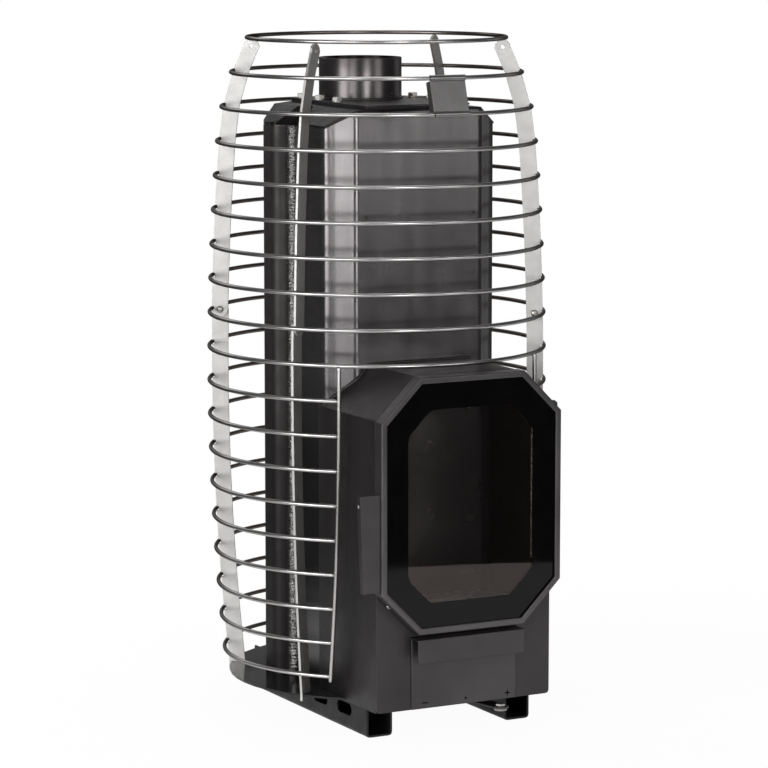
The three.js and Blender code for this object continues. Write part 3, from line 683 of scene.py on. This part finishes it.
class STOVE_OT_flue(PieceOperator, bpy.types.Operator):
    """Round flue collar with a soft rim, a weld at its foot and its screw"""

    bl_idname = "stove.flue"
    bl_label = "Flue collar"

    def execute(self, context):
        low, high = box_of("flue_collar")
        centre = (low + high) / 2 * (1, 1, 0)
        wall, soft, sides, screw_rise = 2.5 * MM, 0.5 * MM, 128, 8 * MM
        outer, bottom, top = (high[0] - low[0]) / 2, low[2], high[2]
        inner, dip = outer - wall, 0.3 * soft
        profile = [(inner, bottom), (outer, bottom), (outer, top - soft), (outer - dip, top - dip),
                   (outer - soft, top), (inner + soft, top), (inner + dip, top - dip), (inner, top - soft)]
        # A lighter copy of the body paint, which strengthens the collar's highlights: painted highlight
        paint = satin_paint("collar_paint", tint(colours().body, 1.35), 0.25, grain=0.03, uneven=0.02)
        collar = surface("collar_pipe", turned(profile, sides, centre), paint, "stove",
                         close_rows=True, replaces=("flue_collar",))
        crease(collar, 50)
        self.weld(centre, outer + 0.4 * MM, bottom + 0.6 * MM)
        bearing, height = math.radians(21), np.array([0, 0, bottom + screw_rise])
        outward = np.array([math.sin(bearing), -math.cos(bearing), 0])
        dome(centre + outward * outer + height, outward, 3.2 * MM, 2.2 * MM, "collar_screw", "stove",
             body_paint())
        return {"FINISHED"}

    def weld(self, centre, reach, height):
        """A painted bead round the collar's foot, whose radius wavers with smoothed random steps."""
        steps, sides, thick, waver = 300, 10, 2.1 * MM, 0.25
        turn = full_turn(steps)
        path = np.stack([reach * np.cos(turn), reach * np.sin(turn), np.full_like(turn, height)], -1)
        radius = thick * (1 + waver * soft_steps(steps, seed=3, span=5))
        points = tube(centre + path, radius[:, None], sides, Z_AXIS, closed=True)
        surface("collar_weld", points, body_paint(), "stove", close_rows=True)


def dome(centre, outward, radius, height, name, body, material=None):
    """A pan screw head: its radius falls from full to nothing along a quarter of an ellipse."""
    sunk, sides, steps = -0.2 * MM, 28, 9
    turn = np.linspace(0, np.pi / 2, steps)[:-1]
    profile = [(0, sunk), (radius, sunk)]
    profile += [(radius * math.cos(a), height * math.sin(a)) for a in turn] + [(TIP * radius, height)]
    points = turned(profile, sides, centre, outward)
    surface(name, points, material or zinc_plate(), body, caps=True)


def hexagon(sides):
    """Radius of a hexagon over its turn, as a factor of half its width across flats."""
    turn = full_turn(sides)
    return 1 / np.cos((turn + np.pi / 6) % (np.pi / 3) - np.pi / 6)


def hex_bolt(name, centre, axis, across, head, shank, length_down, body, replaces=()):
    """A hexagon bolt: a shank with thread ridges, a washer face and a head with its corners turned off."""
    sides, pitch, half = 96, 1.25 * MM, across / 2
    face, lip, bevel, crown = 0.92 * half, 0.3 * MM, 0.9 * MM, 0.4 * MM
    depth, steps, turned_off = 0.055, 60, 1.06
    ridges = np.linspace(-length_down, 0, steps)
    thread = shank * (1 - depth * (0.5 + 0.5 * np.cos(2 * np.pi * ridges / pitch)))
    rows = [(thread[0] * 0.6, -length_down - 0.4 * MM)] + list(zip(thread, ridges))
    rows += [(face, 0), (face, lip), (half, lip), (half, head - bevel), (half, head - crown),
             (0.94 * half, head), (TIP * half, head)]
    shape = np.ones((len(rows), sides))
    shape[-5:-3] = hexagon(sides)
    shape[-3] = np.minimum(hexagon(sides), turned_off)
    surface(name, turned(rows, sides, centre, axis, shape), zinc_plate(), body, caps=True,
            replaces=replaces, smooth=False)


def washer(name, centre, inner, outer, thick, body):
    """A flat washer that rises from centre: a ring with softened rims."""
    soft, sides = 0.3 * MM, 64
    profile = [(inner, 0), (outer - soft, 0), (outer, soft), (outer, thick - soft), (outer - soft, thick),
               (inner, thick)]
    points = turned(profile, sides, centre)
    crease(surface(name, points, zinc_plate(), body, close_rows=True), 40)


class STOVE_OT_bolts(PieceOperator, bpy.types.Operator):
    """Hexagon bolts and washers of the flue cover, and the air lever's knob with its bolt"""

    bl_idname = "stove.bolts"
    bl_label = "Bolts and air knob"

    def execute(self, context):
        across, shank, thick, seat = 13 * MM, 4 * MM, 1.5 * MM, 0.1 * MM
        bolts = sorted(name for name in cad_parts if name.startswith("flue_cover_bolt"))
        for node in bolts:
            low, high = box_of(node)
            centre = (low + high) / 2
            centre[2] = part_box("flue_cover")[1][2] + thick + seat
            hex_bolt(node.replace("flue_", ""), centre, Z_AXIS, across, high[2] - centre[2], shank,
                     centre[2] - low[2], "stove", (node,))
            washer(node.replace("flue_cover_bolt", "cover_washer"), centre - np.array([0, 0, thick]),
                   shank + seat, 8 * MM, thick, "stove")
        self.air_knob(across)
        return {"FINISHED"}

    def air_knob(self, across):
        """A ribbed disc under the end of the lever, held by a bolt from above."""
        low, high = box_of("air_knob")
        centre, radius = (low + high) / 2, (high[0] - low[0]) / 2
        thick, soft, steps, ribs, groove = 3.4 * MM, 0.5 * MM, 192, 24, 0.022
        rows = [(TIP * radius, 0), (radius - soft, 0), (radius, soft), (radius, thick - soft),
                (radius - soft, thick), (TIP * radius, thick)]
        turn = full_turn(steps)
        shape = np.ones((len(rows), steps))
        shape[1:5] = 1 - groove * (1 + np.cos(ribs * turn))
        foot = np.array([*centre[:2], low[2]])
        surface("air_disc", turned(rows, steps, foot, shape=shape), knob_steel(), "air_control",
                caps=True, replaces=("air_knob",), smooth=False)
        nut = np.array([*centre[:2], high[2] - thick])
        hex_bolt("air_bolt", nut, Z_AXIS, across, thick, 3 * MM, nut[2] - low[2] - thick, "air_control")


def bead(name, path, radius, seed, up, material=None):
    """A weld bead: circles along a path, whose radius wavers with smoothed random steps and a ripple."""
    rows, sides, share, height, turn = len(path), 12, 0.2, 0.10, 2.1
    waver = np.stack([soft_steps(rows, seed + k, span=4) for k in range(sides)], -1)
    ripple = height * np.sin(np.arange(rows) * turn)[:, None]
    points = tube(path, radius * (1 + share * waver + ripple), sides, up)
    surface(name, points, material or bare_weld(), "stove", caps=True)


class STOVE_OT_welds(PieceOperator, bpy.types.Operator):
    """Long corner welds of the body, and the welds of its roof and of the neck that meets it"""

    bl_idname = "stove.welds"
    bl_label = "Welds"

    def execute(self, context):
        (_, front, _), (side_x, _, shell_top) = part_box("front_shell")
        self.corners(side_x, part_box("rear_shell")[0][1] + 9 * MM)
        paint = satin_paint("weld_paint", tint(colours().body, 0.7), 0.3, grain=0.8)
        self.neck_and_roof(front, shell_top - 0.5 * MM, paint)
        return {"FINISHED"}

    def corners(self, side_x, seam):
        """Bare beads outside and inside the corners where the two shells meet."""
        bottom, top = 0.060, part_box("top_plate")[0][2] - 1 * MM
        inner_low, inner_high = 0.18, 0.74
        outer_y, inner_y = seam - 6.2 * MM, seam + 9 * MM
        outer_x, inner_x = side_x + 0.8 * MM, side_x - 5.2 * MM
        for side, name in SIDES:
            x = side * outer_x
            path = line((x, outer_y, bottom), (x, outer_y, top), 1.6 * MM)
            bead(f"corner_weld_{name}", path, sizes().bead, 61 + 40 * side, X_AXIS)
            x = side * inner_x
            path = line((x, inner_y, inner_low), (x, inner_y, inner_high), 2 * MM)
            bead(f"inner_weld_{name}", path, 3.4 * MM, 261 + 40 * side, X_AXIS)

    def neck_and_roof(self, front, eaves, paint):
        """Painted beads along the neck's outline on the panel, and along the sloping ends of the roof."""
        neck_half, bend_half, foot_half, ridge_half, eaves_half = 0.0803, 0.101, 0.139, 0.102, 0.1375
        rise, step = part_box("fire_neck")[1][2], 1.6 * MM
        face, crest = front - 0.5 * MM, rise + 0.8 * MM
        crown = line((-neck_half, face, crest), (neck_half, face, crest), 1.8 * MM)
        bead("neck_weld_top", crown, 2.6 * MM, 401, Y_AXIS, paint)
        for side, name in SIDES:
            bend = (side * bend_half, face, rise - 20 * MM)
            flat = line((side * neck_half, face, crest), bend, step)
            slope = line(bend, (side * foot_half, front + 31 * MM, rise - 58.6 * MM), step)
            path = np.concatenate([flat, slope[1:]])
            bead(f"neck_weld_{name}", path, 3.0 * MM, 501 + 40 * side, Y_AXIS, paint)
            ridge_end = (side * ridge_half, front + 0.5 * MM, eaves)
            path = line(ridge_end, (side * eaves_half, front + 29 * MM, eaves - 21.5 * MM), step)
            bead(f"roof_weld_{name}", path, 1.5 * MM, 701 + 40 * side, Y_AXIS, paint)


def sheet_skin(name, corners, radius, proud, low, high, material):
    """A thin skin over the walls of a bent sheet: its outline set outwards by proud, from height low to the
    heights high, which is a function of X."""
    lift, rows = 0.02 * MM, 12
    path = bent(corners, radius)
    along = np.gradient(path, axis=0)
    out = unit(np.stack([along[:, 1], -along[:, 0]], -1))
    loop = np.concatenate([path + proud * out, (path + lift * out)[::-1]])
    z = low + (high(loop[:, 0])[None] - low) * np.linspace(0, 1, rows)[:, None]
    x, y = (np.broadcast_to(loop[:, i], z.shape) for i in (0, 1))
    points = np.stack([x, AXIS_Y + y, z], -1)
    crease(surface(name, points, material, "stove", caps=True), 45)


class STOVE_OT_skins(PieceOperator, bpy.types.Operator):
    """Smooth bends over the walls of the stove body"""

    bl_idname = "stove.skins"
    bl_label = "Body walls"

    def execute(self, context):
        gap = 0.2 * MM
        low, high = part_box("front_shell")
        side, front = high[0], AXIS_Y - low[1]
        flat, bevel, seam, swell = 101 * MM, front - 30 * MM, 3.5 * MM, 1.6 * MM
        wall = -bevel + swell * (front - bevel) / (side - flat)
        corners = mirrored([(-side, seam), (-side - swell, wall), (-flat, -front)])
        top, drop = high[2] - gap, 23 * MM
        bends = np.array([[10], [15], [15], [10]]) * MM

        def roof(x):
            """Height of the wall's top: level over the flat front, and falling by drop towards the sides."""
            return top - drop * np.clip((np.abs(x) - flat) / (side - flat), 0, 1)

        sheet_skin("front_walls", corners, bends, 1.1 * MM, low[2] + gap, roof, panel_steel())
        low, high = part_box("rear_shell")
        wide, back, lip, turn, rear_flat = high[0], high[1] - AXIS_Y, 4 * MM, 47 * MM, 75 * MM
        corners = mirrored([(side + 0.5 * MM, lip), (wide, lip), (wide, turn), (rear_flat, back)])
        # foot=0.5 puts painted shade on the lower part of the rear walls
        paint = satin_paint("wall_paint", tint(colours().body, 0.9), 0.54, foot=0.5)
        level = 0.855
        sheet_skin("rear_walls", corners, 18 * MM, 0.22 * MM, low[2] + gap,
                   lambda x: np.full_like(x, level), paint)
        return {"FINISHED"}


class STOVE_OT_glass(PieceOperator, bpy.types.Operator):
    """Door glass: a clear window inside a black printed border, and the gasket's edge that shows beside it"""

    bl_idname = "stove.glass"
    bl_label = "Door glass"

    def execute(self, context):
        s = sizes()
        low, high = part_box("door_glass")
        front, back = low[1], high[1]
        pane = rounded_loop(octagon(high[0], low[2], high[2], door_corner(3.3 * MM)), 1 * MM, 4)
        window = octagon(s.window_half, s.window_low, s.window_high, s.window_corner)
        window = rounded_loop(window, 6 * MM, 4)
        border = np.concatenate([upright(pane, front, back), upright(window, back, front)])
        surface("glass_border", border, printed_glass("printed_glass", colours().ink), "door",
                close_rows=True, replaces=("door_glass",), smooth=False)
        clear = surface("glass_window", upright(window, front, back), clear_glass("clear_glass"), "door",
                        caps=True, smooth=False)
        clear.visible_shadow = False
        self.gasket_edges(s, back + 0.1 * MM, back + 4.4 * MM)
        return {"FINISHED"}

    def gasket_edges(self, s, near, far):
        """Gritty edges of the gasket behind the window's right and low sides, between two depths."""
        beside, away = 0.3 * MM, np.array([0.35, -0.35]) * MM
        right, foot, corner = s.window_half + beside, s.window_low - beside, s.window_corner
        edges = {"right": ((right, s.window_high - corner), (right, foot + 1.4 * corner)),
                 "low": ((right - corner, foot), (corner - right, foot))}
        grit = weld_metal("gasket_grit", (0.34, 0.33, 0.31))
        for side, (start, end) in edges.items():
            edge = line(start, end, 3 * MM)
            rim = np.concatenate([upright(edge, near, far), upright(edge + away, far, near)])
            surface(f"gasket_edge_{side}", rim.swapaxes(0, 1), grit, "door", caps=True,
                    smooth=False)


class STOVE_OT_rope(PieceOperator, bpy.types.Operator):
    """Twisted rope seal that lies behind the door glass"""

    bl_idname = "stove.rope"
    bl_label = "Rope seal"

    def execute(self, context):
        low, high = box_of("door_rope")
        radius = (high[1] - low[1]) / 2
        lay, strands, groove, steps, sides = 0.016, 3, 0.07, 1200, 24
        outline = octagon(high[0] - radius, low[2] + radius, high[2] - radius, door_corner(22 * MM))
        loop = rounded_loop(outline, 12 * MM, 8)
        loop = np.concatenate([loop, loop[:1]])
        run = np.concatenate([[0], np.cumsum(np.linalg.norm(np.diff(loop, axis=0), axis=1))])
        even = np.linspace(0, run[-1], steps, endpoint=False)
        loop = np.stack([np.interp(even, run, loop[:, i]) for i in (0, 1)], -1)
        path = upright(loop, (low[1] + high[1]) / 2)[0]
        turn = full_turn(sides)
        twist = turn[None] - even[:, None] * 2 * np.pi / lay
        twisted = radius * (1 - groove * np.abs(np.sin(strands / 2 * twist)))
        surface("rope_seal", tube(path, twisted, sides, Y_AXIS, closed=True), seal_fibre(), "door",
                close_rows=True, replaces=("door_rope",))
        return {"FINISHED"}


class STOVE_OT_screws(PieceOperator, bpy.types.Operator):
    """Screws of the strip laps, the baffle, the handle and the door"""

    bl_idname = "stove.screws"
    bl_label = "Screws"

    def execute(self, context):
        self.laps(ring_height(8) - 1 * MM)
        proud, baffle_x, baffle_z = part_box("front_shell")[0][1] - 1 * MM, 87 * MM, 730 * MM
        for side, name in SIDES:
            dome((side * baffle_x, proud, baffle_z), (0, -1, 0), 3.2 * MM, 1.8 * MM, f"baffle_screw_{name}",
                 "stove", body_paint())
        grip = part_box("door_handle")[0]
        place = (grip[0], grip[1] + 4.5 * MM, 346 * MM)
        dome(place, (-1, 0, 0), 2.4 * MM, 1.0 * MM, "handle_screw", "door")
        slant = np.array([-124 * MM, AXIS_Y - 268 * MM, 197 * MM])
        dome(slant, (-1, 0, -1), 4.2 * MM, 2.4 * MM, "frame_screw", "door", knob_steel())
        return {"FINISHED"}

    def laps(self, height):
        """Screws and nuts that hold an upper strip to a lower one, a little inside the rings."""
        inset, screw_out, nut_out = 12 * MM, 1.75 * MM, 5.75 * MM
        radius = float(barrel_radius(height)) * math.cos(math.pi / 36) - inset
        for name, angle in STRIP_ANGLES.items():
            a, side = math.radians(angle), math.copysign(1, angle)
            place = np.array([radius * math.sin(a), AXIS_Y - radius * math.cos(a), height])
            along = np.array([math.cos(a), math.sin(a), 0]) * side
            dome(place - along * screw_out, -along, 5.2 * MM, 3 * MM, f"lap_screw_{name}", "stove")
            hex_bolt(f"lap_nut_{name}", place + along * nut_out, along, 10 * MM, 4.5 * MM, 2.9 * MM, 7 * MM,
                     "stove")


class STOVE_OT_marks(PieceOperator, bpy.types.Operator):
    """Plain minus, dot and plus marks of the air control on the drawer front"""

    bl_idname = "stove.marks"
    bl_label = "Air marks"

    def execute(self, context):
        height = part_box("ash_drawer")[0][2] + 8 * MM
        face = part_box("front_plate")[0][1] - 1 * MM
        sunk, proud = face + 0.1 * MM, face - 0.15 * MM
        material = satin_paint("mark_paint", colours().mark, 0.6, specular=0.1)
        cut = 0.29
        # Middle, width and height of each bar in millimetres: the plus is two bars
        bars = [(-63, 9, 1.6), (2.5, 3.4, 3.4), (71, 8.5, 1.7), (71, 1.7, 8.5)]
        for index, (x, width, tall) in enumerate(bars):
            low, high = height - tall / 2 * MM, height + tall / 2 * MM
            outline = octagon(width / 2 * MM, low, high, cut * min(width, tall) * MM)
            outline[:, 0] += x * MM
            surface(f"air_mark_{index + 1}", upright(outline, sunk, proud), material, "ash_drawer",
                    caps=True, smooth=False)
        return {"FINISHED"}


class STOVE_OT_finishes(PieceOperator, bpy.types.Operator):
    """Finishes of the CAD nodes, which show on those that keep their solid shape"""

    bl_idname = "stove.finishes"
    bl_label = "Sheet-metal finishes"

    def execute(self, context):
        body, door = colours().body, colours().door
        rail = satin_paint("rail_paint", tint(body, 0.4), 0.5)
        finish = {
            "front_shell": panel_steel(),
            "base_plate": gloss_paint("base_gloss", colours().gloss),
            "flue_cover_gasket": woven_fibre("graphite_seal", (0.03, 0.03, 0.032)),
            "glass_gasket": seal_fibre(),
            "badge_plate": badge_steel(),
            "foot_rail_left": rail,
            "foot_rail_right": rail,
            # A darker copy of the door paint: painted shade of the door's shadow on the front plate
            "front_plate": satin_paint("plate_paint", tint(door, 0.75), 0.42),
            # foot=0.62 puts painted shade on the neck's foot, between 0.16 m and 0.34 m
            "fire_neck": satin_paint("neck_paint", body, 0.40, foot=0.62, fade=(0.16, 0.34)),
            "air_pivot": zinc_plate(),
            # A lighter copy of the door paint, which brightens the frame's edge highlights: painted highlight
            "door_frame": satin_paint("frame_paint", tint(door, 1.6), 0.34, edge=0.004),
            "door_handle": door_paint(),
            "ash_drawer": satin_paint("drawer_paint", door, 0.40, edge=0.003),
            "top_plate": satin_paint("roof_paint", tint(body, 0.32), 0.42),
        }
        for name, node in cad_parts.items():
            if name in KEPT_PLAIN:
                continue
            usual = strip_steel() if name.startswith("strip_") else body_paint()
            node.data.materials.clear()
            node.data.materials.append(finish.get(name, usual))
        return {"FINISHED"}


class STOVE_OT_stage(PieceOperator, bpy.types.Operator):
    """Studio floor, white background, soft lamps and the camera"""

    bl_idname = "stove.stage"
    bl_label = "Studio"

    def execute(self, context):
        scene = context.scene
        scene.view_settings.view_transform = "Standard"
        studio_world(scene)
        studio_floor()
        lamp("left", bearing=-76, size=(2.2, 2.8), height=1.3, power=160)
        lamp("near left", bearing=-49, size=(1.6, 2.8), height=1.35, power=95)
        lamp("front", bearing=-9, size=(1.4, 2.6), height=1.3, power=110)
        lamp("right", bearing=24, size=(1.8, 2.4), height=1.7, power=44)
        lamp("far right", bearing=97, size=(2.6, 3.2), height=0.9, power=9)
        lamp("rear", bearing=195, size=(3.0, 2.4), height=3.4, power=40)
        lamp("top", bearing=150, size=(2.4, 2.4), height=5.2, power=60, away=0.6)
        view = bpy.data.cameras.new("camera")
        view.sensor_width = SENSOR
        view.lens = SENSOR * FOCAL_LENGTH / PHOTO_WIDTH
        camera = add("camera", view)
        turn = math.radians(CAMERA_TURN)
        camera.location = (CAMERA_OFFSET * math.cos(turn) - CAMERA_DISTANCE * math.sin(turn),
                           AXIS_Y - CAMERA_OFFSET * math.sin(turn) - CAMERA_DISTANCE * math.cos(turn),
                           CAMERA_HEIGHT)
        camera.rotation_euler = (math.radians(90 - CAMERA_TILT), 0, -turn)
        scene.camera = camera
        return {"FINISHED"}


def studio_world(scene):
    """Grey light all round, and the white background where the camera, a reflection or a view through glass
    meets it. The room in front of the background is darker in reflections."""
    scene.world = bpy.data.worlds.new("studio")
    scene.world.use_nodes = True
    g = Graph(scene.world.node_tree)
    light, seen = g.tree.nodes["Background"], g.node("Background")
    for shader in (light, seen):
        shader.inputs["Color"].default_value = (1, 1, 1, 1)
    light.inputs["Strength"].default_value = ROOM_LIGHT
    towards = g.node("VectorMath", operation="DOT_PRODUCT")
    towards.inputs[1].default_value = BACKDROP
    g.link(g.node("TexCoord").outputs["Generated"], towards.inputs[0])
    behind = g.span(towards.outputs["Value"], DARK_ROOM, 1.0, *BACKDROP_EDGE, interpolation_type="SMOOTHSTEP")
    path = g.node("LightPath").outputs
    straight = g.math("GREATER_THAN", path["Is Transmission Ray"], path["Glossy Depth"])
    through = g.math("MAXIMUM", path["Is Camera Ray"], straight)
    g.link(g.math("MAXIMUM", through, behind), seen.inputs["Strength"])
    g.blend(g.seen_rays(), light, seen, "World Output")


def studio_floor():
    """A round pale floor that keeps the object's shadow: its points lie at radius times cosine and sine of
    the turn, and it fades into the white background towards its rim."""
    rings, steps, hole = 24, 96, 0.001
    radius, turn = np.meshgrid(np.linspace(hole, FLOOR_RADIUS, rings), full_turn(steps), indexing="ij")
    points = np.stack([radius * np.cos(turn), radius * np.sin(turn), np.zeros_like(turn)], -1)
    mesh = grid_mesh("floor", points)
    f = Finish("studio_floor")
    f.shade(f.noise(2, 2), tint(colours().floor, 0.99), colours().floor)
    f.set(Roughness=0.9, Specular_IOR_Level=0.0)
    out = f.node("VectorMath", operation="LENGTH")
    f.link(f.coords, out.inputs[0])
    white = f.span(out.outputs["Value"], low=0.96, high=1.0, start=0.50, end=1.12)
    f.blend(f.math("MULTIPLY", white, f.seen_rays()), f.shader, f.node("Emission"), "Material Output")
    mesh.materials.append(f.material)
    floor = add("floor", mesh)
    floor.location = FLOOR_MIDDLE


def lamp(name, bearing, size, height, power, away=5.6):
    """A soft lamp, size wide and high, at a bearing from the front. It faces the stove's upright axis."""
    data = bpy.data.lights.new(name, "AREA")
    data.shape = "RECTANGLE"
    data.size, data.size_y = size
    data.energy = power
    made = add(name, data)
    turn = math.radians(bearing)
    made.location = (away * math.sin(turn), -away * math.cos(turn), height)
    made.rotation_euler = (math.atan2(away, height - LAMP_TARGET), 0, turn)


OPERATORS = (STOVE_OT_finishes, STOVE_OT_rings, STOVE_OT_rods, STOVE_OT_badge, STOVE_OT_flue, STOVE_OT_skins,
             STOVE_OT_bolts, STOVE_OT_welds, STOVE_OT_glass, STOVE_OT_rope, STOVE_OT_screws, STOVE_OT_marks,
             STOVE_OT_stage)


class STOVE_PT_panel(bpy.types.Panel):
    """Sidebar panel with the stove's pieces, sizes and colours"""

    bl_idname = "STOVE_PT_panel"
    bl_label = "Sauna stove"
    bl_space_type = "VIEW_3D"
    bl_region_type = "UI"
    bl_category = "Stove"

    def draw(self, context):
        for operator in OPERATORS:
            self.layout.operator(operator.bl_idname)
        for group in (context.scene.stove_sizes, context.scene.stove_colours):
            box = self.layout.box()
            for key in group.bl_rna.properties.keys():
                if key not in ("rna_type", "name"):
                    box.prop(group, key)


CLASSES = (StoveSizes, StoveColours, *OPERATORS, STOVE_PT_panel)


def register():
    for item in CLASSES:
        bpy.utils.register_class(item)
    bpy.types.Scene.stove_sizes = PointerProperty(type=StoveSizes)
    bpy.types.Scene.stove_colours = PointerProperty(type=StoveColours)


def unregister():
    del bpy.types.Scene.stove_colours
    del bpy.types.Scene.stove_sizes
    for item in reversed(CLASSES):
        bpy.utils.unregister_class(item)


def main():
    register()
    for operator in OPERATORS:
        group, name = operator.bl_idname.split(".")
        getattr(getattr(bpy.ops, group), name)()


if __name__ == "__main__":
    main()
